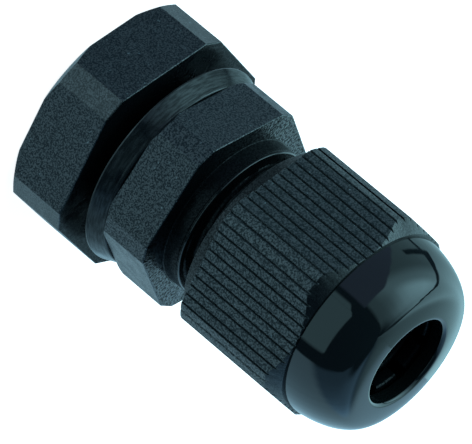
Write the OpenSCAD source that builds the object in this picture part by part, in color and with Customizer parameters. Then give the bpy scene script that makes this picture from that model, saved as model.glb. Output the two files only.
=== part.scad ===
/*
Nylon cable gland, PG7 size, with its lock nut and gasket fitted.
The origin is on the thread axis, in the plane where the gland's hexagon seats on its gasket.
+Z runs along the cable, out through the domed sealing nut. All sizes are in millimetres.
Both threads are drawn plain, at their outside diameter.
*/

/* [Threads] */
// Outside diameter of the inlet thread and the outlet thread
thread_d = 12.5; // [12:0.1:12.6]
// Pitch of both threads, which sets their lead-in chamfers
thread_pitch = 1.27; // [1:0.01:1.5]
// Length of the inlet thread below the seat
inlet_thread_h = 8; // [7.5:0.1:8.5]
// Length of the outlet thread above the shoulder
outlet_thread_h = 7.7; // [7:0.1:7.7]
// Radial running clearance of every nut and gasket on its thread
thread_clearance = 0.05; // [0.02:0.01:0.1]

/* [Gland body] */
// Body hexagon, across flats
body_af = 16.3; // [15.6:0.1:17]
// Body hexagon, across its cut corners
body_corners = 17.9; // [17.4:0.1:18.2]
// Height of the body hexagon
body_hex_h = 4.65; // [4:0.05:5]
// Height of the chamfer under the hexagon's corners
corner_chamfer = 0.35; // [0.2:0.05:0.5]
// Diameter of the round shoulder above the hexagon
shoulder_d = 13.4; // [13:0.1:14]
// Height of the round shoulder
shoulder_h = 1.65; // [1.4:0.05:1.8]
// Cable passage through the inlet thread
inlet_bore_d = 8.8; // [8:0.1:9]
// Bore that guides the clamping claw
claw_bore_d = 10; // [9.8:0.1:10.2]
// Height of the seat at the bottom of the claw bore, above the gland's seat
claw_seat_z = 7.2; // [6.5:0.1:7.2]

/* [Gasket] */
// Outside diameter of the flat gasket at its rear face
gasket_d = 18.2; // [17.5:0.1:18.6]
// Outside diameter of the flat gasket at its front face
gasket_front_d = 17; // [16.8:0.1:18.2]
// Thickness of the flat gasket
gasket_t = 1.65; // [1.4:0.05:1.8]

/* [Lock nut] */
// Lock nut hexagon, across flats
nut_af = 19; // [18:0.1:19.5]
// Lock nut hexagon, across its cut corners
nut_corners = 20.8; // [20:0.1:21.2]
// Thickness of the lock nut
nut_h = 5.75; // [5:0.05:6]
// Gap between the lock nut and the gasket, where a panel goes
panel_gap = 1.3; // [1:0.1:2]
// Diameter of the lock nut's far face, inside its chamfer
nut_face_d = 19.4; // [19:0.1:20]
// Height of the chamfer at the lock nut's corners
nut_chamfer_h = 0.6; // [0.4:0.05:1]
// Turn of the lock nut's hexagon against the body's
nut_turn = 11; // [0:1:59]

/* [Sealing nut] */
// Sealing nut's ribbed hexagon, across flats
cap_af = 16.8; // [16.2:0.1:17.2]
// Sealing nut's ribbed hexagon, across its round corners
cap_corners = 18.4; // [17.8:0.1:18.6]
// Height of the ribs' lower end above the gland's seat
cap_rib_z = 9.05; // [9:0.05:9.5]
// Length of the ribs on a corner
cap_rib_h = 9; // [8.5:0.1:9.2]
// Height of the sloped band between the ribs and the dome
cap_band_h = 1.2; // [1:0.1:1.4]
// Diameter of the plain collar below the ribs
cap_collar_d = 15.6; // [15:0.1:16]
// Height of the plain collar
cap_collar_h = 1.05; // [0.8:0.05:1.05]
// Number of grooves between the ribs
rib_count = 72; // [36:6:72]
// Depth of each groove
rib_depth = 0.2; // [0.1:0.05:0.3]
// Width of each groove, as a share of the ribs' pitch
groove_share = 0.56; // [0.4:0.02:0.7]
// Length of the sealing nut's thread past the body's rim, the room to tighten it
tightening_room = 2; // [1.7:0.1:2.2]
// Turn of the sealing nut's hexagon against the body's
cap_turn = 12; // [0:1:59]

/* [Dome] */
// Diameter of the dome at its base
dome_d = 16.4; // [16:0.1:16.6]
// Height of the dome's curve, from its widest level to its lip
dome_rise = 5.65; // [5.4:0.05:6]
// Radial reach of the dome's curve, from its widest level to its lip
dome_reach = 2.8; // [2.6:0.1:3]
// Diameter of the mouth that the cable leaves by
mouth_d = 7.8; // [7.4:0.1:8]
// Radius of the mouth's inner lip
lip_r = 0.7; // [0.5:0.05:0.9]
// Height of the dome's widest level below the top of the sloped band
dome_drop = 0.8; // [0.5:0.05:1]
// Thickness of the dome at the mouth
mouth_wall = 1.3; // [1.1:0.1:1.6]

/* [Clamping claw] */
// Number of fingers on the claw
finger_count = 8; // [6:1:10]
// Width of the slots between the fingers
slot_w = 0.9; // [0.6:0.1:1.1]
// Diameter of the collar that meets the body's rim
claw_collar_d = 11.8; // [11.4:0.1:12]
// Depth that the claw's skirt reaches into the body
claw_depth = 5; // [4:0.1:5.5]
// Height of the claw's collar above the body's rim
claw_stand = 1.8; // [1.7:0.05:1.9]
// Clearance between the claw and the sealing nut
claw_clearance = 0.15; // [0.1:0.01:0.2]
// Outside diameter of the fingers at their tips
claw_tip_d = 9; // [8.8:0.1:9.2]
// Inside diameter of the fingers at their tips
claw_tip_bore_d = 7.4; // [7.2:0.1:7.6]

/* [Sealing insert] */
// Bore of the rubber insert, the largest cable it takes
insert_bore_d = 6.5; // [6:0.1:6.8]
// Outside diameter of the rubber insert
insert_d = 8.3; // [8:0.1:8.4]
// Height of the claw's ledge under the insert
insert_ledge_h = 0.8; // [0.6:0.1:1.2]
// Height of the claw's tip above the insert
insert_cover_h = 1.2; // [1:0.1:1.6]

/* [Hidden] */
$fn = 96;

shoulder_z = body_hex_h + shoulder_h;
rim_z = shoulder_z + outlet_thread_h;

nut_bore_d = thread_d + 2 * thread_clearance;
nut_top_z = -gasket_t - panel_gap;

cap_foot_z = cap_rib_z - cap_collar_h;
band_z = cap_rib_z + cap_rib_h;
dome_z = band_z + cap_band_h;
widest_z = dome_z - dome_drop;
mouth_z = widest_z + dome_rise;
cap_thread_top_z = rim_z + tightening_room;
// The inner cone starts above a relief as high as the claw's collar.
claw_collar_h = 1;
clamp_cone_z = cap_thread_top_z + claw_collar_h;
lip_z = mouth_z - mouth_wall;

claw_foot_z = rim_z - claw_depth;
claw_collar_z = rim_z + claw_stand;
claw_tip_z = lip_z - 2 * claw_clearance;
insert_z = claw_foot_z + insert_ledge_h;
insert_top_z = claw_tip_z - insert_cover_h;
// Every cutting shape reaches this far past the solid that it cuts, and every joined one this far into it.
past = 1;
// Gap between the rubber insert and the claw's pocket
insert_gap = 0.05;

// A hexagonal prism whose six corners are cut by flat facets.
module cut_hexagon(across_flats, across_corners, height) {
    intersection() {
        cylinder(d = across_flats / cos(30), h = height, $fn = 6);
        rotate([0, 0, 30]) cylinder(d = across_corners / cos(30), h = height, $fn = 6);
    }
}

// A plain thread with a lead-in chamfer at its far end.
module plain_thread(height) {
    lead_in = thread_pitch / 2;
    rotate_extrude() polygon([
        [0, 0], [thread_d / 2, 0], [thread_d / 2, height - lead_in],
        [thread_d / 2 - lead_in, height], [0, height]
    ]);
}

module gland_body() {
    color([0.07, 0.08, 0.085]) difference() {
        union() {
            intersection() {
                rotate([0, 0, 30]) cut_hexagon(body_af, body_corners, body_hex_h);
                rotate_extrude() polygon([
                    [0, 0], [body_corners / 2 - corner_chamfer, 0], [body_corners / 2, corner_chamfer],
                    [body_corners, corner_chamfer], [body_corners, body_hex_h], [0, body_hex_h]
                ]);
            }
            cylinder(d = shoulder_d, h = shoulder_z);
            translate([0, 0, shoulder_z - past]) plain_thread(outlet_thread_h + past);
            translate([0, 0, past]) mirror([0, 0, 1]) plain_thread(inlet_thread_h + past);
        }
        translate([0, 0, -inlet_thread_h - past])
            cylinder(d = inlet_bore_d, h = inlet_thread_h + rim_z + 2 * past);
        translate([0, 0, claw_seat_z]) cylinder(d = claw_bore_d, h = rim_z);
    }
}

// The cross-section of the ribbed hexagon: round corners, and V grooves all the way round.
module ribbed_outline() {
    sector = 60;
    grooves_per_flat = rib_count / 6;
    flat_w = cap_af * tan(sector / 2);
    groove_pitch = flat_w / grooves_per_flat;
    // The V is drawn past the surface, and widens on its way there.
    v_top = 0.2;
    v_half_w = groove_pitch * groove_share / 2 * (rib_depth + v_top) / rib_depth;
    difference() {
        intersection() {
            rotate(30) circle(d = cap_af / cos(30), $fn = 6);
            circle(d = cap_corners);
        }
        for (flat = [0:5], i = [0:grooves_per_flat - 1]) {
            along = (i + 0.5) * groove_pitch - flat_w / 2;
            // Near a corner the round outline lies inside the flat.
            surface = min(cap_af / 2, sqrt(pow(cap_corners / 2, 2) - pow(along, 2)));
            rotate(flat * sector) translate([surface, along]) polygon([
                [-rib_depth, 0], [v_top, -v_half_w], [v_top, v_half_w]
            ]);
        }
    }
}

// The smooth outside of the sealing nut as a turned profile: sloped band, dome and rolled mouth.
module turned_outside() {
    dome_step = 5;
    dome_r = dome_d / 2;
    // Width of the flat step round the dome's base
    dome_foot = 0.2;
    dome_curve = [for (a = [asin(dome_drop / dome_rise):dome_step:90])
        [dome_r - dome_reach * (1 - cos(a)), widest_z + dome_rise * sin(a)]];
    lip_curve = [for (a = [90:15:180])
        [mouth_d / 2 + lip_r + lip_r * cos(a), mouth_z - lip_r + lip_r * sin(a)]];
    rotate_extrude() polygon(concat(
        [[mouth_d / 2, cap_rib_z], [cap_corners / 2 + past, cap_rib_z],
         [cap_corners / 2 + past, band_z - cap_band_h], [dome_r + dome_foot, dome_z]],
        dome_curve, lip_curve));
}

module sealing_nut() {
    color([0.09, 0.1, 0.105]) difference() {
        union() {
            intersection() {
                turned_outside();
                union() {
                    translate([0, 0, cap_rib_z]) rotate([0, 0, cap_turn])
                        linear_extrude(dome_z - cap_rib_z) ribbed_outline();
                    translate([0, 0, dome_z - past]) cylinder(d = dome_d, h = dome_rise + 2 * past);
                }
            }
            translate([0, 0, cap_foot_z]) cylinder(d = cap_collar_d, h = cap_collar_h + past);
        }
        rotate_extrude() polygon([
            [0, cap_foot_z - past], [nut_bore_d / 2, cap_foot_z - past], [nut_bore_d / 2, cap_thread_top_z],
            [claw_collar_d / 2 + claw_clearance, clamp_cone_z],
            [claw_tip_d / 2 + claw_clearance, lip_z], [mouth_d / 2, lip_z], [0, lip_z]
        ]);
        translate([0, 0, lip_z - past]) cylinder(d = mouth_d, h = mouth_wall + 2 * past);
    }
}

module clamping_claw() {
    skirt_r = claw_bore_d / 2 - thread_clearance;
    insert_pocket_r = insert_d / 2 + insert_gap;
    // The ledge that carries the insert stands clear of the cable.
    ledge_r = insert_bore_d / 2 + 0.4;
    pocket_chamfer_h = 0.2;
    color([0.13, 0.14, 0.145]) difference() {
        rotate_extrude() polygon([
            [ledge_r, claw_foot_z], [skirt_r, claw_foot_z], [skirt_r, claw_collar_z],
            [claw_collar_d / 2, claw_collar_z], [claw_collar_d / 2, clamp_cone_z - claw_clearance],
            [claw_tip_d / 2, claw_tip_z], [claw_tip_bore_d / 2, claw_tip_z],
            [claw_tip_bore_d / 2, insert_top_z + pocket_chamfer_h], [insert_pocket_r, insert_top_z],
            [insert_pocket_r, insert_z], [ledge_r, insert_z]
        ]);
        for (i = [0:finger_count - 1]) rotate([0, 0, i * 360 / finger_count])
            translate([0, -slot_w / 2, claw_collar_z + claw_collar_h])
                cube([claw_collar_d, slot_w, claw_tip_z]);
    }
}

module sealing_insert() {
    color([0.03, 0.03, 0.03]) difference() {
        translate([0, 0, insert_z]) cylinder(d = insert_d, h = insert_top_z - insert_z);
        translate([0, 0, insert_z - past]) cylinder(d = insert_bore_d, h = insert_top_z - insert_z + 2 * past);
    }
}

module flat_gasket() {
    color([0.04, 0.045, 0.05]) translate([0, 0, -gasket_t]) difference() {
        cylinder(d1 = gasket_d, d2 = gasket_front_d, h = gasket_t);
        translate([0, 0, -past]) cylinder(d = nut_bore_d, h = gasket_t + 2 * past);
    }
}

module lock_nut() {
    color([0.07, 0.08, 0.085]) translate([0, 0, nut_top_z - nut_h]) difference() {
        intersection() {
            rotate([0, 0, 30 + nut_turn]) cut_hexagon(nut_af, nut_corners, nut_h);
            rotate_extrude() polygon([
                [0, 0], [nut_face_d / 2, 0], [nut_corners / 2, nut_chamfer_h],
                [nut_corners, nut_chamfer_h], [nut_corners, nut_h], [0, nut_h]
            ]);
        }
        translate([0, 0, -past]) cylinder(d = nut_bore_d, h = nut_h + 2 * past);
    }
}

gland_body();
sealing_nut();
clamping_claw();
sealing_insert();
flat_gasket();
lock_nut();
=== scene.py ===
import math

import bmesh
import bpy
from mathutils import Matrix, Vector


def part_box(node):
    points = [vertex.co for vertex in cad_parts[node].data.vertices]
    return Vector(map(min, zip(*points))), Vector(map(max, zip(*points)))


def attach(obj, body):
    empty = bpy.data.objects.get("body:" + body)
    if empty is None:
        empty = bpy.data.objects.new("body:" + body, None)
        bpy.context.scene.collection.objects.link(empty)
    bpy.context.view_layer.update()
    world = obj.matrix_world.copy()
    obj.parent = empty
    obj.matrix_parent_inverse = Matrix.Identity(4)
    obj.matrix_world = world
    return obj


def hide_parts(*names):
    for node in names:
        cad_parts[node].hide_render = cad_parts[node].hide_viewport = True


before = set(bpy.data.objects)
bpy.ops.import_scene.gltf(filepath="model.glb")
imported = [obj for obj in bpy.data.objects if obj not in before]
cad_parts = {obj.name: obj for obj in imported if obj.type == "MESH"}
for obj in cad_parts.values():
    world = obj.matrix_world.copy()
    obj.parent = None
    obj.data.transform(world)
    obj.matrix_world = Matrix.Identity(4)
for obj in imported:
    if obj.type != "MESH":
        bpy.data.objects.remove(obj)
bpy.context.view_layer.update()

MM = 0.001

# The thread at both ends of the gland
PITCH = 1.27
CREST_R = 6.25
ROOT_R = 5.68
THREAD_PLAY = 0.1
LEAD_IN = 0.6
STEPS_PER_PITCH = 12
COUNTERSINK = 0.1

# The gland body
BODY_AF = 16.3
BODY_CORNERS = 17.9
BODY_HEX_H = 4.65
BODY_FACE_R = 8.6
SHOULDER_R = 6.7
SHOULDER_Z = 6.3
RIM_H = 0.3
CLAW_BORE_R = 5.0
CLAW_SEAT_Z = 7.2
INLET_BORE_R = 4.4

# The lock nut
NUT_AF = 19.0
NUT_CORNERS = 20.8
NUT_TURN = 11
NUT_FACE_R = 9.7
NUT_CHAMFER_H = 0.6

# The sealing nut
CAP_AF = 16.8
CAP_CORNER_R = 9.2
CAP_TURN = 12
COLLAR_R = 7.8
COLLAR_H = 1.05
GROOVES_PER_FLAT = 11
GROOVE_DEPTH = 0.2
GROOVE_HALF_W = 0.11
BAND_R = 8.4
BAND_SLOPE = 0.75
DOME_BASE_Z = 19.25
DOME_WIDEST_Z = 18.45
DOME_R = 8.2
DOME_REACH = 2.8
CROWN_SHARPNESS = 40
MOUTH_R = 3.85
LIP_R = 0.3
LIP_Z = 22.8
CONE_TOP_R = 4.65
CONE_BASE_R = 6.05
CONE_BASE_Z = 17.0
CAP_THREAD_TOP_Z = 16.0
CAP_THREAD_RELIEF_R = 6.5
CAP_ENTRY_R = 6.6

# The claw
FINGER_COUNT = 8
SLOT_W = 0.9
SLEEVE_R = 4.93
SLEEVE_BORE_R = 4.2
CLAW_LIP_BORE_R = 3.65
CLAW_LIP_H = 0.8
CLAW_COLLAR_R = 5.9
CLAW_COLLAR_Z = 15.8
CLAW_COLLAR_H = 1.1
FINGER_TIP_R = 4.5
FINGER_TIP_BORE_R = 3.7
FINGER_TIP_H = 1.0

# The rubber insert
INSERT_R = 4.13
INSERT_BORE_R = 3.25
INSERT_MOUTH_PLAY = 0.25
INSERT_RIB_COUNT = 5
INSERT_END_H = 0.6

# The gasket
GASKET_REAR_R = 9.0
GASKET_FRONT_R = 8.4
GASKET_BORE_R = CREST_R + 0.1
GASKET_REAR_H = 0.16
GASKET_FRONT_H = 0.3
GASKET_OFF_CENTRE = 0.1
GASKET_OFF_TOWARD = 116


def heights(node):
    """Lowest and highest level of a CAD node."""
    low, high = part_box(node)
    return low.z / MM, high.z / MM


# ---------------------------------------------------------------- outlines and lofts


def rounded(corners, steps=4):
    """A closed outline from corners of (x, y, rounding). Each rounding above 0 becomes an arc."""
    outline = []
    for i, (x, y, rounding) in enumerate(corners):
        corner = Vector((x, y))
        if rounding == 0:
            outline.append(corner)
            continue
        back = Vector(corners[i - 1][:2]) - corner
        ahead = Vector(corners[(i + 1) % len(corners)][:2]) - corner
        if min(back.length, ahead.length) < 1e-6:
            outline += [corner.copy() for _ in range(steps + 1)]
            continue
        half = back.angle(ahead) / 2
        reach = min(rounding / math.tan(half), 0.45 * back.length, 0.45 * ahead.length)
        back.normalize()
        ahead.normalize()
        centre = corner + (back + ahead).normalized() * reach / math.cos(half)
        start = corner + back * reach - centre
        end = corner + ahead * reach - centre
        sweep = math.pi - 2 * half
        for step in range(steps + 1):
            t = step / steps
            spoke = start * math.sin((1 - t) * sweep) + end * math.sin(t * sweep)
            outline.append(centre + spoke / math.sin(sweep))
    return outline


def divided(outline, longest):
    """The same closed outline with its long straight sides divided."""
    points = []
    for here, there in zip(outline, outline[1:] + outline[:1]):
        parts = max(1, math.ceil((there - here).length / longest))
        points += [here.lerp(there, part / parts) for part in range(parts)]
    return points


def cut_hexagon(across_flats, across_corners, turn, rounding=0.22):
    """Outline of a hexagon whose corners are cut by flats, with its twelve edges rounded."""
    lines = []
    for k in range(12):
        distance = (across_corners if k % 2 else across_flats) / 2
        lines.append((math.radians(turn + 30 * k), distance))
    corners = []
    for (a, p), (b, q) in zip(lines, lines[1:] + lines[:1]):
        spread = math.sin(b - a)
        x = (p * math.sin(b) - q * math.sin(a)) / spread
        y = (q * math.cos(a) - p * math.cos(b)) / spread
        corners.append((x, y, rounding))
    return divided(rounded(corners, steps=5), longest=0.5)


def circle(radius, count):
    """Outline of a circle."""
    turns = [2 * math.pi * i / count for i in range(count)]
    return [Vector((radius * math.cos(turn), radius * math.sin(turn))) for turn in turns]


def loft(name, outline, profile):
    """A closed solid swept round the Z axis.

    outline holds the solid's points in plan, anticlockwise. profile(radius, angle) gives the
    closed section at each of them as (radius, height) points: out along the bottom, up the
    outside and down the inside, with the same number of points every time.
    """
    vertices = []
    for point in outline:
        angle = math.atan2(point.y, point.x)
        section = profile(point.length, angle)
        for radius, height in section:
            place = (radius * math.cos(angle), radius * math.sin(angle), height)
            vertices.append([value * MM for value in place])
    rows = len(section)
    faces = []
    for i in range(len(outline)):
        here = i * rows
        there = (i + 1) % len(outline) * rows
        for j in range(rows):
            above = (j + 1) % rows
            faces.append((here + j, there + j, there + above, here + above))
    return solid(name, vertices, faces)


def solid(name, vertices, faces):
    """A mesh object with merged points and smooth shading over its rounded edges."""
    mesh = bpy.data.meshes.new(name)
    mesh.from_pydata(vertices, [], faces)
    work = bmesh.new()
    work.from_mesh(mesh)
    bmesh.ops.remove_doubles(work, verts=work.verts, dist=0.0005 * MM)
    work.to_mesh(mesh)
    work.free()
    piece = bpy.data.objects.new(name, mesh)
    bpy.context.scene.collection.objects.link(piece)
    smooth(piece)
    return piece


def smooth(piece):
    """Smooth shading that keeps the large flat faces flat."""
    piece.data.shade_smooth()
    piece.data.set_sharp_from_angle(angle=math.radians(50))
    weighted = piece.modifiers.new("weighted_normals", "WEIGHTED_NORMAL")
    weighted.keep_sharp = True


def thread_height(z, angle):
    """How far the thread stands up at this place, from 0 in its root to 1 on its crest."""
    crest_edge = 0.24
    root_edge = 0.76
    turn = z / PITCH - angle / (2 * math.pi)
    # 0 in the middle of the crest and 1 in the middle of the root
    off_crest = 2 * abs((turn + 0.5) % 1 - 0.5)
    t = min(1, max(0, (root_edge - off_crest) / (root_edge - crest_edge)))
    return t * t * (3 - 2 * t)


def thread_rows(bottom, top):
    """Levels at which a thread's section has its points."""
    count = math.ceil((top - bottom) / PITCH * STEPS_PER_PITCH)
    return [bottom + (top - bottom) * i / count for i in range(count + 1)]


def outside_thread(bottom, top, angle, free_end):
    """Points up a thread on a spigot, with a chamfer at its free end."""
    points = []
    for z in thread_rows(bottom, top):
        radius = ROOT_R + (CREST_R - ROOT_R) * thread_height(z, angle)
        points.append((min(radius, CREST_R - LEAD_IN + abs(z - free_end)), z, 0))
    return points


def inside_thread(bottom, top, angle):
    """Points down a thread in a nut, with a countersink at each end."""
    points = []
    for z in reversed(thread_rows(bottom, top)):
        radius = ROOT_R + THREAD_PLAY + (CREST_R - ROOT_R) * thread_height(z, angle)
        countersink = CREST_R + THREAD_PLAY + COUNTERSINK - min(z - bottom, top - z)
        points.append((max(radius, countersink), z, 0))
    return points


# ---------------------------------------------------------------- the pieces


def make_gland_body():
    """The hexagon with its shoulder and a thread at each end, hollow all the way through."""
    bottom, top = heights("gland_body")
    rim_r = SHOULDER_R - 0.05
    rim_z = SHOULDER_Z - RIM_H
    inlet_top = -0.02

    def section(side, angle):
        chamfer = max(0.1, side - BODY_FACE_R)
        corners = [(INLET_BORE_R, bottom, 0.15)]
        corners += outside_thread(bottom, inlet_top, angle, bottom)
        corners += [
            (ROOT_R, 0, 0),
            (side - chamfer, 0, 0.05), (side, chamfer, 0.1), (side, BODY_HEX_H, 0.1),
            (SHOULDER_R, BODY_HEX_H, 0.12),
            (SHOULDER_R, rim_z - 0.02, 0), (rim_r, rim_z + 0.02, 0), (rim_r, SHOULDER_Z, 0.12),
        ]
        corners += outside_thread(SHOULDER_Z, top, angle, top)
        corners += [
            (CLAW_BORE_R, top, 0.2), (CLAW_BORE_R, CLAW_SEAT_Z, 0.1),
            (INLET_BORE_R, CLAW_SEAT_Z, 0.1),
        ]
        return rounded(corners)

    outline = cut_hexagon(BODY_AF, BODY_CORNERS, 0)
    return loft("gland_body_detail", outline, section)


def make_lock_nut():
    """The large hexagon, chamfered at its rear."""
    bottom, top = heights("lock_nut")
    slope = NUT_CHAMFER_H / (NUT_CORNERS / 2 - NUT_FACE_R)
    edge = 0.08

    def section(side, angle):
        # The chamfer's cone only meets the corners, and the edge between them is just rounded.
        chamfer_z = bottom + max(edge, (side - NUT_FACE_R) * slope)
        corners = [
            (min(NUT_FACE_R, side - edge), bottom, 0.1), (side, chamfer_z, 0.1), (side, top, 0.1),
        ]
        corners += inside_thread(bottom, top, angle)
        return rounded(corners)

    outline = cut_hexagon(NUT_AF, NUT_CORNERS, NUT_TURN)
    return loft("lock_nut_detail", outline, section)


def make_gasket():
    """The rubber ring, which tapers to the front and sits a little off centre."""
    bottom, top = heights("flat_gasket")

    def section(radius, angle):
        shift = GASKET_OFF_CENTRE * math.cos(angle - math.radians(GASKET_OFF_TOWARD))
        rear = GASKET_REAR_R + shift
        front = GASKET_FRONT_R + shift
        return rounded([
            (GASKET_BORE_R, bottom, 0.1), (rear, bottom, 0.1), (rear, bottom + GASKET_REAR_H, 0.05),
            (front + 0.1, top - GASKET_FRONT_H, 0.1), (front, top, 0.12), (GASKET_BORE_R, top, 0.1),
        ])

    return loft("flat_gasket_detail", circle(GASKET_REAR_R, 180), section)


def ribbed_outline():
    """Outline of the sealing nut's ribs: a hexagon with round corners and V grooves all round."""
    # One groove stands right on each corner, and the others between two corners are evenly spaced.
    pitch = CAP_CORNER_R / GROOVES_PER_FLAT
    # Each groove as (place across it in half widths, share of its depth)
    groove = [(-1.15, 0), (-0.9, 0.12), (-0.3, 0.95), (0, 1), (0.3, 0.95), (0.9, 0.12), (1.15, 0)]
    points = []
    middles = [i * pitch - CAP_CORNER_R / 2 for i in range(GROOVES_PER_FLAT)]
    for flat in range(6):
        turn = Matrix.Rotation(math.radians(CAP_TURN + 60 * flat), 2)
        for middle in middles:
            for across, share in [(-0.5 * pitch / GROOVE_HALF_W, 0)] + groove:
                along = middle + across * GROOVE_HALF_W
                surface = min(CAP_AF / 2, math.sqrt(CAP_CORNER_R ** 2 - along ** 2))
                points.append(turn @ Vector((surface - share * GROOVE_DEPTH, along)))
    return points


def make_sealing_nut():
    """The ribbed hexagon between its collar and its dome, with the thread and the cone inside."""
    bottom, top = heights("sealing_nut")
    rib_z = bottom + COLLAR_H
    thread_bottom = bottom + 0.5
    thread_top = CAP_THREAD_TOP_Z - 0.4
    # The dome is a quarter of an ellipse, whose top is drawn out inward to the lip.
    dome_rise = top - DOME_WIDEST_Z
    crown_reach = DOME_R - DOME_REACH - MOUTH_R - LIP_R
    dome_start = math.asin((DOME_BASE_Z - DOME_WIDEST_Z) / dome_rise)
    dome_steps = 44
    dome = []
    for i in range(dome_steps + 1):
        a = dome_start + (math.pi / 2 - dome_start) * i / dome_steps
        reach = DOME_REACH * (1 - math.cos(a)) + crown_reach * math.sin(a) ** CROWN_SHARPNESS
        dome.append((DOME_R - reach, DOME_WIDEST_Z + dome_rise * math.sin(a), 0))
    lip_steps = 8
    lip = []
    for i in range(1, lip_steps + 1):
        a = math.pi / 2 * (1 + i / lip_steps)
        lip.append((MOUTH_R + LIP_R + LIP_R * math.cos(a), top - LIP_R + LIP_R * math.sin(a), 0))

    def section(side, angle):
        band_z = min(DOME_BASE_Z - 0.03, DOME_BASE_Z - (side - BAND_R) / BAND_SLOPE)
        corners = [
            (COLLAR_R, bottom, 0.12), (COLLAR_R, rib_z, 0.1), (side, rib_z, 0.13),
            (side, band_z, 0.06), (min(BAND_R, side - 0.01), DOME_BASE_Z, 0.03),
        ]
        corners += dome + lip
        corners += [
            (MOUTH_R, LIP_Z, 0.1), (CONE_TOP_R, LIP_Z, 0.1), (CONE_BASE_R, CONE_BASE_Z, 0.15),
            (CAP_THREAD_RELIEF_R, CAP_THREAD_TOP_Z, 0),
        ]
        corners += inside_thread(thread_bottom, thread_top, angle)
        corners += [(CAP_THREAD_RELIEF_R, bottom + 0.15, 0), (CAP_ENTRY_R, bottom, 0.05)]
        return rounded(corners)

    return loft("sealing_nut_detail", ribbed_outline(), section)


def make_clamping_claw():
    """The sleeve in the body and the collar outside it, split into fingers from there up."""
    bottom, top = heights("clamping_claw")

    def section(radius, angle):
        return rounded([
            (CLAW_LIP_BORE_R, bottom, 0.1), (SLEEVE_R, bottom, 0.2), (SLEEVE_R, CLAW_COLLAR_Z, 0.1),
            (CLAW_COLLAR_R, CLAW_COLLAR_Z, 0.15),
            (CLAW_COLLAR_R, CLAW_COLLAR_Z + CLAW_COLLAR_H, 0.2),
            (FINGER_TIP_R, top, 0.25), (FINGER_TIP_BORE_R, top, 0.25),
            (FINGER_TIP_BORE_R, top - FINGER_TIP_H, 0.1),
            (SLEEVE_BORE_R, top - FINGER_TIP_H - 0.2, 0.1),
            (SLEEVE_BORE_R, bottom + CLAW_LIP_H, 0.1), (CLAW_LIP_BORE_R, bottom + CLAW_LIP_H, 0.1),
        ])

    claw = loft("clamping_claw_detail", circle(CLAW_COLLAR_R, 160), section)
    for i in range(FINGER_COUNT // 2):
        cut_slot(claw, i * 360 / FINGER_COUNT, CLAW_COLLAR_Z + 1, top + 1)
    return claw


def cut_slot(claw, turn, bottom, top):
    """Cuts one slot right across the claw, between two pairs of fingers."""
    length = 14
    bpy.ops.mesh.primitive_cube_add(size=1)
    cutter = bpy.context.object
    size = Matrix.Diagonal((length * MM, SLOT_W * MM, (top - bottom) * MM, 1))
    place = Matrix.Translation((0, 0, (top + bottom) / 2 * MM))
    cutter.matrix_world = Matrix.Rotation(math.radians(turn), 4, "Z") @ place @ size
    cut = claw.modifiers.new("slot", "BOOLEAN")
    cut.operation = "DIFFERENCE"
    cut.solver = "EXACT"
    cut.object = cutter
    bpy.context.view_layer.objects.active = claw
    bpy.ops.object.modifier_move_to_index(modifier="slot", index=0)
    bpy.ops.object.modifier_apply(modifier="slot")
    bpy.data.objects.remove(cutter)


def make_sealing_insert():
    """The rubber sleeve in the claw, with ribs that grip the cable."""
    bottom, top = heights("sealing_insert")
    rib_pitch = (top - bottom - 2 * INSERT_END_H) / INSERT_RIB_COUNT
    mouth_r = INSERT_BORE_R + INSERT_MOUTH_PLAY
    valley_r = INSERT_BORE_R + 0.2

    def section(radius, angle):
        corners = [(INSERT_R, bottom, 0.15), (INSERT_R, top, 0.2), (mouth_r, top, 0.15)]
        for i in range(INSERT_RIB_COUNT):
            rib_top = top - INSERT_END_H - i * rib_pitch
            corners += [
                (INSERT_BORE_R, rib_top - 0.2, 0.15),
                (INSERT_BORE_R, rib_top - rib_pitch * 0.5, 0.15),
                (valley_r, rib_top - rib_pitch * 0.75, 0.15),
            ]
        corners.append((mouth_r, bottom, 0.15))
        return rounded(corners)

    return loft("sealing_insert_detail", circle(INSERT_R, 128), section)


# ---------------------------------------------------------------- materials

PLASTIC_IOR = 1.5

# Base colours. The pairs are mixed in soft patches.
NYLON = ((0.0022, 0.0019, 0.003), (0.0016, 0.0036, 0.0038))
GRAINED = ((0.003, 0.0062, 0.0098), (0.0036, 0.0078, 0.0112))
RIBBED = ((0.0125, 0.0175, 0.0192), (0.0145, 0.0195, 0.021))
POLISHED = ((0.0035, 0.0047, 0.0048), (0.0035, 0.0047, 0.0048))
DUST = (0.1, 0.12, 0.13)

# Grains to the millimetre
PATCHES_PER_MM = 0.9
WAVES_PER_MM = 0.35
SPECKS_PER_MM = 3.5

# Values of the noise: its usual range, the grain's pits and tops, and where dust sets in
NOISE_RANGE = (0.3, 0.7)
PIT_TO_TOP = (0.4, 0.62)
CLEAN_TO_DUST = (0.7, 0.76)


def material(name, colour, roughness, specular=0.5):
    """A new Principled material with its nodes ready to be joined."""
    made = bpy.data.materials.new(name)
    made.use_nodes = True
    shader = made.node_tree.nodes["Principled BSDF"]
    shader.inputs["Base Color"].default_value = (*colour, 1)
    shader.inputs["Roughness"].default_value = roughness
    shader.inputs["IOR"].default_value = PLASTIC_IOR
    shader.inputs["Specular IOR Level"].default_value = specular
    return made


def noise(tree, per_mm, detail=2.0, stretch=(1, 1, 1)):
    """Noise in the piece's own space, with about per_mm grains to the millimetre."""
    place = tree.nodes.new("ShaderNodeTexCoord")
    scale = tree.nodes.new("ShaderNodeMapping")
    scale.inputs["Scale"].default_value = [part * per_mm / MM for part in stretch]
    grain = tree.nodes.new("ShaderNodeTexNoise")
    grain.inputs["Scale"].default_value = 1
    grain.inputs["Detail"].default_value = detail
    tree.links.new(place.outputs["Object"], scale.inputs["Vector"])
    tree.links.new(scale.outputs["Vector"], grain.inputs["Vector"])
    return grain.outputs["Fac"]


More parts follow.
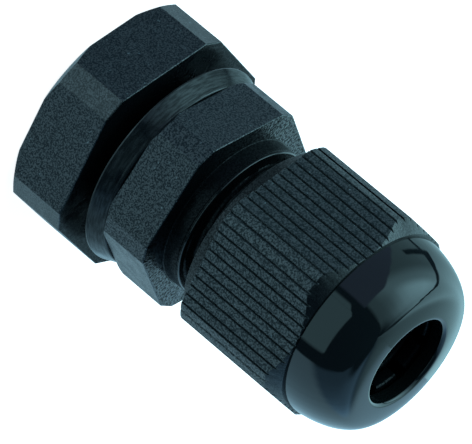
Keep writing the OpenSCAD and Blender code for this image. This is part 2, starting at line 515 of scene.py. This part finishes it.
def mapped(tree, value, low, high, to_low, to_high):
    """value taken smoothly from one range to another."""
    node = tree.nodes.new("ShaderNodeMapRange")
    node.interpolation_type = "SMOOTHSTEP"
    node.inputs["From Min"].default_value = low
    node.inputs["From Max"].default_value = high
    node.inputs["To Min"].default_value = to_low
    node.inputs["To Max"].default_value = to_high
    tree.links.new(value, node.inputs["Value"])
    return node.outputs["Result"]


def bump(tree, height, depth, under=None):
    """Bump of a depth in millimetres, on top of another bump."""
    node = tree.nodes.new("ShaderNodeBump")
    node.inputs["Distance"].default_value = depth * MM
    node.inputs["Strength"].default_value = 1
    tree.links.new(height, node.inputs["Height"])
    if under:
        tree.links.new(under, node.inputs["Normal"])
    return node.outputs["Normal"]


def colour_mix(tree, share, first, second):
    """A colour that goes from the first to the second, each a colour or a node's output."""
    node = tree.nodes.new("ShaderNodeMix")
    node.data_type = "RGBA"
    tree.links.new(share, node.inputs["Factor"])
    for name, colour in (("A", first), ("B", second)):
        if isinstance(colour, tuple):
            node.inputs[name].default_value = (*colour, 1)
        else:
            tree.links.new(colour, node.inputs[name])
    return node.outputs["Result"]


def moulded(name, roughness, grain_depth, grain_per_mm, gloss=(0.5, 0.5), spread=0.06,
            wave_depth=0.004, colours=NYLON):
    """Moulded plastic. gloss is how strongly the grain's pits and its tops reflect.

    The roughness varies by spread to either side in soft patches. Depths are in millimetres.
    """
    made = material(name, colours[0], roughness, gloss[0])
    tree = made.node_tree
    shader = tree.nodes["Principled BSDF"]
    grain = noise(tree, grain_per_mm, detail=3)
    patches = noise(tree, PATCHES_PER_MM, detail=2)
    waves = noise(tree, WAVES_PER_MM, detail=1)
    tree.links.new(colour_mix(tree, patches, *colours), shader.inputs["Base Color"])
    rough = mapped(tree, patches, *NOISE_RANGE, roughness - spread, roughness + spread)
    tree.links.new(rough, shader.inputs["Roughness"])
    if gloss[0] != gloss[1]:
        shine = mapped(tree, grain, *PIT_TO_TOP, *gloss)
        tree.links.new(shine, shader.inputs["Specular IOR Level"])
    under = bump(tree, waves, wave_depth)
    tree.links.new(bump(tree, grain, grain_depth, under), shader.inputs["Normal"])
    return made


def dusted(made):
    """Adds sparse light specks of dust to a moulded finish."""
    tree = made.node_tree
    colour = tree.nodes["Principled BSDF"].inputs["Base Color"]
    clean = colour.links[0].from_socket
    specks = mapped(tree, noise(tree, SPECKS_PER_MM, detail=2), *CLEAN_TO_DUST, 0, 1)
    tree.links.new(colour_mix(tree, specks, clean, DUST), colour)
    return made


def streaked_rubber(name):
    """Rubber with faint streaks round it, and painted shade on two opposite sides, where its
    reflection is weakened.
    """
    # Painted shade: the reflection fades between these distances from the middle, down to this
    # share of it.
    shade_from = 5.8 * MM
    shade_to = 8.7 * MM
    shade_share = 0.32
    made = moulded(name, 0.24, 0.004, 5.0, gloss=(0.35, 0.6))
    tree = made.node_tree
    place = tree.nodes.new("ShaderNodeTexCoord")
    split = tree.nodes.new("ShaderNodeSeparateXYZ")
    tree.links.new(place.outputs["Object"], split.inputs["Vector"])
    side = tree.nodes.new("ShaderNodeMath")
    side.operation = "ABSOLUTE"
    tree.links.new(split.outputs["X"], side.inputs[0])
    # painted shade on the two sides far out along X
    painted_shade = mapped(tree, side.outputs[0], shade_from, shade_to, 1, shade_share)
    streaks = mapped(tree, noise(tree, 1.0, detail=3, stretch=(1, 1, 8)), 0.35, 0.65, 0.3, 0.65)
    product = tree.nodes.new("ShaderNodeMath")
    product.operation = "MULTIPLY"
    tree.links.new(painted_shade, product.inputs[0])
    tree.links.new(streaks, product.inputs[1])
    tree.links.new(product.outputs[0], tree.nodes["Principled BSDF"].inputs["Specular IOR Level"])
    return made


def paint(piece, finishes, choose):
    """Gives each face the finish that choose(centre in mm, normal) names."""
    names = list(finishes)
    for name in names:
        piece.data.materials.append(finishes[name])
    for face in piece.data.polygons:
        face.material_index = names.index(choose(face.center / MM, face.normal))


# ---------------------------------------------------------------- light, floor and camera

CAMERA_AZIMUTH = math.radians(-77)
CAMERA_ELEVATION = math.radians(26.04)
CAMERA_ROLL = math.radians(39.95)
CAMERA_DISTANCE = 0.42          # metres
CAMERA_LENS = 417.2
VIEW_ANCHOR_Z = -2.95
VIEW_SHIFT_RIGHT = 5.968
VIEW_SHIFT_UP = -5.214


def make_camera():
    """Looks at the gland from the side and a little above, with its mouth down to the right."""
    level = Vector((math.cos(CAMERA_AZIMUTH), math.sin(CAMERA_AZIMUTH), 0))
    across = Vector((-level.y, level.x, 0))
    toward = level * math.cos(CAMERA_ELEVATION) + Vector((0, 0, math.sin(CAMERA_ELEVATION)))
    axis = (Vector((0, 0, 1)) - toward * math.sin(CAMERA_ELEVATION)) / math.cos(CAMERA_ELEVATION)
    right = axis * math.cos(CAMERA_ROLL) - across * math.sin(CAMERA_ROLL)
    up = -axis * math.sin(CAMERA_ROLL) - across * math.cos(CAMERA_ROLL)
    anchor = Vector((0, 0, VIEW_ANCHOR_Z * MM))
    place = anchor + toward * CAMERA_DISTANCE
    aim = anchor + (right * VIEW_SHIFT_RIGHT + up * VIEW_SHIFT_UP) * MM
    back = (place - aim).normalized()
    side = up.cross(back).normalized()
    rotation = Matrix((side, back.cross(side), back)).transposed().to_4x4()
    data = bpy.data.cameras.new("camera")
    data.lens = CAMERA_LENS
    data.sensor_width = 36
    data.clip_start = 0.01
    data.clip_end = 100
    camera = bpy.data.objects.new("camera", data)
    camera.matrix_world = Matrix.Translation(place) @ rotation
    bpy.context.scene.collection.objects.link(camera)
    bpy.context.scene.camera = camera


def make_floor():
    """A plain white floor that shows no shadow, as in a light tent. It lies just below the nut."""
    size = 3.0                  # metres
    gap = 0.02
    level = (heights("lock_nut")[0] - gap) * MM
    mesh = bpy.data.meshes.new("floor")
    plan = [(-size, -size), (size, -size), (size, size), (-size, size)]
    corners = [(x, y, level) for x, y in plan]
    mesh.from_pydata(corners, [], [(0, 1, 2, 3)])
    floor = bpy.data.objects.new("floor", mesh)
    bpy.context.scene.collection.objects.link(floor)
    white = material("floor_white", (0.9, 0.9, 0.9), 0.9)
    shader = white.node_tree.nodes["Principled BSDF"]
    shader.inputs["Emission Color"].default_value = (1, 1, 1, 1)
    shader.inputs["Emission Strength"].default_value = 0.9
    mesh.materials.append(white)
    # The tent's own light stands below the horizon too, so the gloss takes it from the world.
    floor.visible_glossy = False
    floor.visible_diffuse = False


class Tent:
    """The light tent: a world whose light is built up from soft-edged patches.

    A patch's place is an azimuth from the camera and a height above the horizon.
    """

    def __init__(self):
        world = bpy.data.worlds.new("tent")
        world.use_nodes = True
        bpy.context.scene.world = world
        self.tree = world.node_tree
        self.nodes = self.tree.nodes
        place = self.nodes.new("ShaderNodeTexCoord")
        turn = self.nodes.new("ShaderNodeMapping")
        turn.inputs["Rotation"].default_value = (0, 0, -CAMERA_AZIMUTH)
        self.tree.links.new(place.outputs["Generated"], turn.inputs["Vector"])
        split = self.nodes.new("ShaderNodeSeparateXYZ")
        self.tree.links.new(turn.outputs["Vector"], split.inputs["Vector"])
        self.azimuth = self.compute("ARCTAN2", split.outputs["Y"], split.outputs["X"])
        self.height = self.compute("ARCSINE", split.outputs["Z"])
        self.light = None

    def compute(self, operation, a, b=None):
        """A sum or a function of one or two values, each a number or a node's output."""
        node = self.nodes.new("ShaderNodeMath")
        node.operation = operation
        for socket, value in zip(node.inputs, (a, b)):
            if value is None:
                continue
            if isinstance(value, (int, float)):
                socket.default_value = value
            else:
                self.tree.links.new(value, socket)
        return node.outputs[0]

    def ramp(self, value, start, end):
        """0 at start and 1 at end, in degrees, and smooth between them."""
        node = self.nodes.new("ShaderNodeMapRange")
        node.interpolation_type = "SMOOTHSTEP"
        flipped = start > end
        node.inputs["From Min"].default_value = math.radians(min(start, end))
        node.inputs["From Max"].default_value = math.radians(max(start, end))
        node.inputs["To Min"].default_value = 1 if flipped else 0
        node.inputs["To Max"].default_value = 0 if flipped else 1
        self.tree.links.new(value, node.inputs["Value"])
        return node.outputs["Result"]

    def tilted(self, slope, about):
        """The height, less a line that rises by slope to the right of the azimuth about."""
        offset = self.compute("SUBTRACT", self.azimuth, math.radians(about))
        return self.compute("SUBTRACT", self.height, self.compute("MULTIPLY", offset, slope))

    def fill(self, colour, strength):
        """The same light in every direction."""
        node = self.nodes.new("ShaderNodeRGB")
        node.outputs[0].default_value = [part * strength for part in colour] + [1]
        self.light = node.outputs[0]

    def patch(self, colour, strength, *masks):
        """Covers the light so far with another, where all the masks are 1."""
        share = masks[0]
        for mask in masks[1:]:
            share = self.compute("MULTIPLY", share, mask)
        lit = tuple(part * strength for part in colour)
        self.light = colour_mix(self.tree, share, self.light, lit)

    def finish(self):
        """Lets the world shine with the light made so far."""
        background = self.nodes["Background"]
        self.tree.links.new(self.light, background.inputs["Color"])


COOL = (0.46, 0.87, 1.0)
VIOLET = (0.31, 0.67, 1.0)
PALE = (0.48, 0.83, 1.0)
DARK = (0.3, 0.65, 1.0)
RIGHT_FLOOR = (0.43, 0.79, 1.0)
LOW_VIOLET = (0.4, 0.62, 0.95)
GAP_LIGHT = 0.08


def make_tent():
    """The tent's panels and gaps, from the farthest to those that lie over them."""
    tent = Tent()
    tent.fill(DARK, GAP_LIGHT)
    add_side_panels(tent)
    add_back(tent)
    add_low_front(tent)
    add_tent_floor(tent)
    tent.finish()


def add_side_panels(tent):
    """The large panels on the right and on the left."""
    azimuth, height, ramp = tent.azimuth, tent.height, tent.ramp
    # right panel, brighter low down toward the back
    right = [ramp(azimuth, 65, 70), ramp(tent.tilted(0.12, 120), 68, 52)]
    tent.patch(VIOLET, 0.58, *right)
    tent.patch(VIOLET, 0.88, *right, ramp(azimuth, 75, 120))
    tent.patch(VIOLET, 2.6, ramp(azimuth, 100, 166), ramp(height, 42, 10))
    # left panel, with its hot spot; the back panel lies over it
    left = [ramp(azimuth, -160, -130), ramp(azimuth, -17, -22), ramp(height, 86, 47)]
    hot_spot = [ramp(azimuth, -46, -86), ramp(azimuth, -116, -97), ramp(height, 58, 28)]
    tent.patch(COOL, 0.8, *left)
    tent.patch(COOL, 3.2, *left, ramp(azimuth, -25, -90))
    tent.patch(COOL, 4.3, *left, *hot_spot)
    tent.patch(COOL, 1.8, *left, ramp(height, 26, 12), ramp(azimuth, -25, -60))
    tent.patch(COOL, 0.7, *left, ramp(height, 13, -1))


def add_back(tent):
    """The back panel on the left with the gap round it, and the dimmer light behind."""
    azimuth, height, ramp = tent.azimuth, tent.height, tent.ramp
    # the gap is laid first, and the panel leaves a strip of it round its corner
    frame_side = tent.tilted(-1.67, -119)
    frame_top = tent.tilted(-0.235, -136)
    gap = [ramp(azimuth, -116, -118), ramp(frame_side, 45, 43), ramp(frame_top, 56, 54)]
    tent.patch(DARK, GAP_LIGHT, *gap)
    panel_side = tent.tilted(-1.67, -125)
    panel = [ramp(azimuth, -121, -123), ramp(panel_side, 44, 42), ramp(frame_top, 52, 50)]
    tent.patch(COOL, 2.1, *panel)
    tent.patch(COOL, 0.85, *panel, ramp(height, 14, -16))
    # the gap is widest low down, where a thin tail leaves it
    above_tail_foot = ramp(height, -13, -11)
    tail = [ramp(height, -7, -9), above_tail_foot]
    tent.patch(DARK, GAP_LIGHT, *tail, ramp(azimuth, -93, -97), ramp(azimuth, -122, -120))
    wedge = [ramp(azimuth, -117, -119), ramp(tent.tilted(2.2, -120), 6, 4), above_tail_foot]
    tent.patch(DARK, GAP_LIGHT, *wedge)
    # dimmer straight behind, where the two sides meet without a step
    low = ramp(height, 10, 34)
    tent.patch(COOL, 0.95, ramp(azimuth, -160, -172), low)
    tent.patch(VIOLET, 0.32, ramp(azimuth, 158, 170), low)
    tent.patch(COOL, 0.6, ramp(azimuth, -166, -180), low)
    tent.patch(COOL, 0.6, ramp(azimuth, 164, 180), low)


def add_low_front(tent):
    """What stands low down in front: the floor on the right, a dark patch and a window."""
    azimuth, height, ramp = tent.azimuth, tent.height, tent.ramp
    # floor of the tent on the right
    tent.patch(RIGHT_FLOOR, 1.25, ramp(tent.tilted(0.3, 75), 8, -3), ramp(azimuth, 65, 67))
    # low dark patch in front on the left
    steep = tent.tilted(0.71, -52)
    flat = tent.tilted(0.13, -30)
    tent.patch(LOW_VIOLET, 0.52, ramp(steep, 11, 8), ramp(flat, 16, 14), ramp(azimuth, -12, -16))
    # darker still in front of the camera
    front = [ramp(azimuth, -18, -15), ramp(azimuth, 67, 65)]
    tent.patch(DARK, 0.1, *front, ramp(height, -80, -60))
    # window low in front, with two cut corners
    top = tent.tilted(-0.1, 5)
    near_cut = tent.tilted(1.0, -10)
    far_cut = tent.tilted(-0.8, 50)
    window = [ramp(azimuth, -10, -7), ramp(azimuth, 54, 48), ramp(top, 12.5, 11)]
    tent.patch(COOL, 0.97, *window, ramp(near_cut, 3.5, 1), ramp(far_cut, 8, 6))


def add_tent_floor(tent):
    """The floor under all of it, darker on the left and with a bright spot in front."""
    azimuth, ramp = tent.azimuth, tent.ramp
    floor = ramp(tent.height, -18, -24)
    tent.patch(PALE, 0.95, floor)
    tent.patch(PALE, 0.4, floor, ramp(azimuth, -20, -45), ramp(azimuth, -110, -80))
    tent.patch(PALE, 1.5, floor, ramp(azimuth, -16, -8), ramp(azimuth, 10, 2))


# ---------------------------------------------------------------- which face has which finish


def body_finish(centre, normal):
    """Grained hexagon with smoother end faces. The shoulder and thread have painted shade, all but
    the shoulder's worn rim.
    """
    radius = math.hypot(centre.x, centre.y)
    if radius < SHOULDER_R + 0.15:
        near_rim = abs(centre.z - SHOULDER_Z) < 0.15 and radius > CREST_R
        return "rim" if near_rim and 0.1 < normal.z < 0.95 else "shaded"
    return "end" if abs(normal.z) > 0.9 else "grain"


def nut_finish(centre, normal):
    """Grained flats, brighter cut corners, and painted shade on the end faces and thread."""
    if abs(normal.z) > 0.9 or math.hypot(centre.x, centre.y) < CREST_R + 0.3:
        return "shaded"
    from_flat = (math.degrees(math.atan2(normal.y, normal.x)) - NUT_TURN) % 60
    return "facet" if 15 < from_flat < 45 else "grain"


def cap_finish(centre, normal):
    """Polished dome and lip, grained ribs, smoother ledges and collar, and painted shade on the
    inside.
    """
    radius = math.hypot(centre.x, centre.y)
    outward = (normal.x * centre.x + normal.y * centre.y) / radius
    if centre.z > DOME_BASE_Z and (outward > 0 or normal.z > 0.2 or centre.z > LIP_Z):
        return "gloss"
    if outward < 0:
        return "shaded"
    if radius < COLLAR_R + 0.01:
        return "collar"
    if abs(normal.z) > 0.3:
        return "satin"
    return "ribs"


# ---------------------------------------------------------------- the scene

make_camera()
make_floor()
make_tent()
bpy.context.scene.view_settings.view_transform = "Standard"

# Each with its roughness, the depth of its grain and the number of grains to the millimetre
gloss = moulded("nylon_gloss", 0.05, 0.0, 3.0, spread=0.02, wave_depth=0.0008, colours=POLISHED)
satin = moulded("nylon_satin", 0.3, 0.004, 9.0, gloss=(0.35, 0.65))
collar = moulded("nylon_collar", 0.34, 0.008, 8.0, gloss=(0.15, 0.5))
grain = dusted(
    moulded("nylon_coarse_grain", 0.36, 0.014, 8.0, gloss=(0.2, 0.95), colours=GRAINED))
facet_grain = dusted(
    moulded("nylon_facet_grain", 0.3, 0.014, 8.0, gloss=(0.45, 1.0), colours=POLISHED))
rib_grain = dusted(
    moulded("nylon_rib_grain", 0.4, 0.03, 6.5, gloss=(0.15, 1.0), colours=RIBBED))
end_face = moulded("nylon_end_face", 0.15, 0.024, 4.5, gloss=(0.05, 1.0))
# Painted shade: almost no reflection, for faces that lie in shade, such as end faces, threads, the
# claw and insides.
shaded = moulded("nylon_shaded", 0.3, 0.006, 7.0, gloss=(0.04, 0.14))
rubber = streaked_rubber("gasket_rubber")
# Matte insert rubber, its reflection cut further as painted shade deep in the mouth.
shaded_inner_rubber = moulded("insert_rubber", 0.45, 0.01, 6.0, gloss=(0.04, 0.12))

body = make_gland_body()
body_finishes = {"grain": grain, "end": end_face, "rim": gloss, "shaded": shaded}
paint(body, body_finishes, body_finish)
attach(body, "gland")
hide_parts("gland_body")

nut = make_lock_nut()
nut_finishes = {"grain": grain, "facet": facet_grain, "shaded": shaded}
paint(nut, nut_finishes, nut_finish)
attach(nut, "nut")
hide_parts("lock_nut")

gasket = make_gasket()
paint(gasket, {"rubber": rubber}, lambda centre, normal: "rubber")
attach(gasket, "gasket")
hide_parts("flat_gasket")

cap = make_sealing_nut()
cap_finishes = {
    "gloss": gloss, "satin": satin, "collar": collar, "ribs": rib_grain, "shaded": shaded,
}
paint(cap, cap_finishes, cap_finish)
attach(cap, "cap")
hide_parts("sealing_nut")

claw = make_clamping_claw()
paint(claw, {"shaded": shaded}, lambda centre, normal: "shaded")
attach(claw, "clamp_set")
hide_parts("clamping_claw")

insert = make_sealing_insert()
paint(insert, {"rubber": shaded_inner_rubber}, lambda centre, normal: "rubber")
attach(insert, "clamp_set")
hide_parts("sealing_insert")
